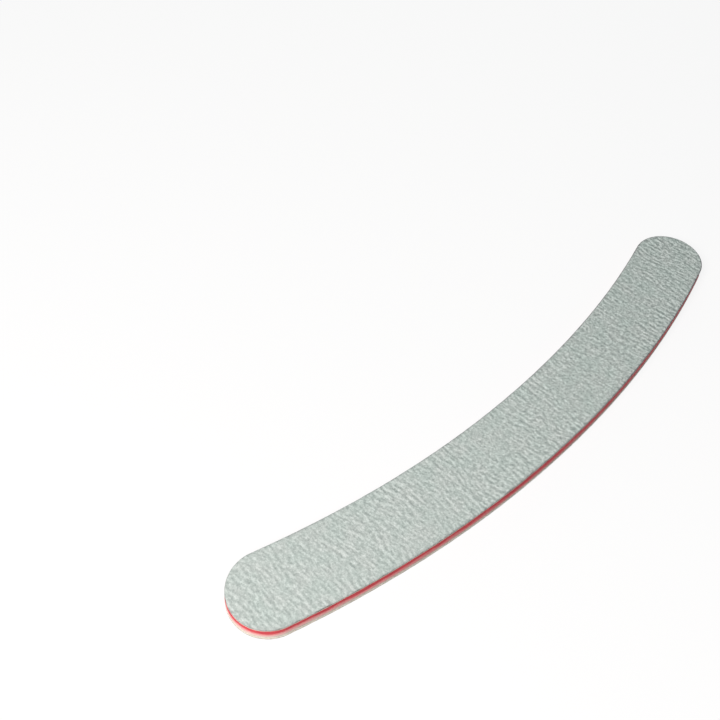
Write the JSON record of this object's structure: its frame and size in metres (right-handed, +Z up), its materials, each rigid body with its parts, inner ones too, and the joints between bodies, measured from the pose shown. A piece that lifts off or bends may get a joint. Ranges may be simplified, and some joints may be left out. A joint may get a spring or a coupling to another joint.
{
  "type": "emery board",
  "caption": "Curved, round-ended two-faced emery board for filing nails: sandpaper glued over a red plastic core, with a cream foam layer under one face.",
  "frame": {"origin": "middle of the bounding box on the plane that the underside rests on", "axes": "+X along the chord from tip to tip, +Y towards the hollow long edge, so the bulging long edge faces -Y, +Z up through the layers"},
  "size_m": [0.1764, 0.031, 0.0044],
  "materials": {
    "abrasive_grain": "fine grit in a matt size coat, pale greenish grey with short wavy ripples",
    "bond_resin": "thin matt resin coat",
    "backing_paper": "cream paper, cut edge slightly fibrous",
    "glue_film": "soft translucent glue film",
    "core_plastic": "bright red plastic, satin, with a sheared and a broken stretch on the cut edge",
    "foam": "cream closed-cell foam, matt"
  },
  "bodies": {
    "root": {"lower_abrasive_grit": "abrasive_grain", "lower_bond_coat": "bond_resin", "lower_backing_paper": "backing_paper", "lower_adhesive_film": "glue_film", "foam_layer": "foam", "foam_adhesive_film": "glue_film", "core_board": "core_plastic", "upper_adhesive_film": "glue_film", "upper_backing_paper": "backing_paper", "upper_bond_coat": "bond_resin", "upper_abrasive_grit": "abrasive_grain"}
  },
  "joints": []
}
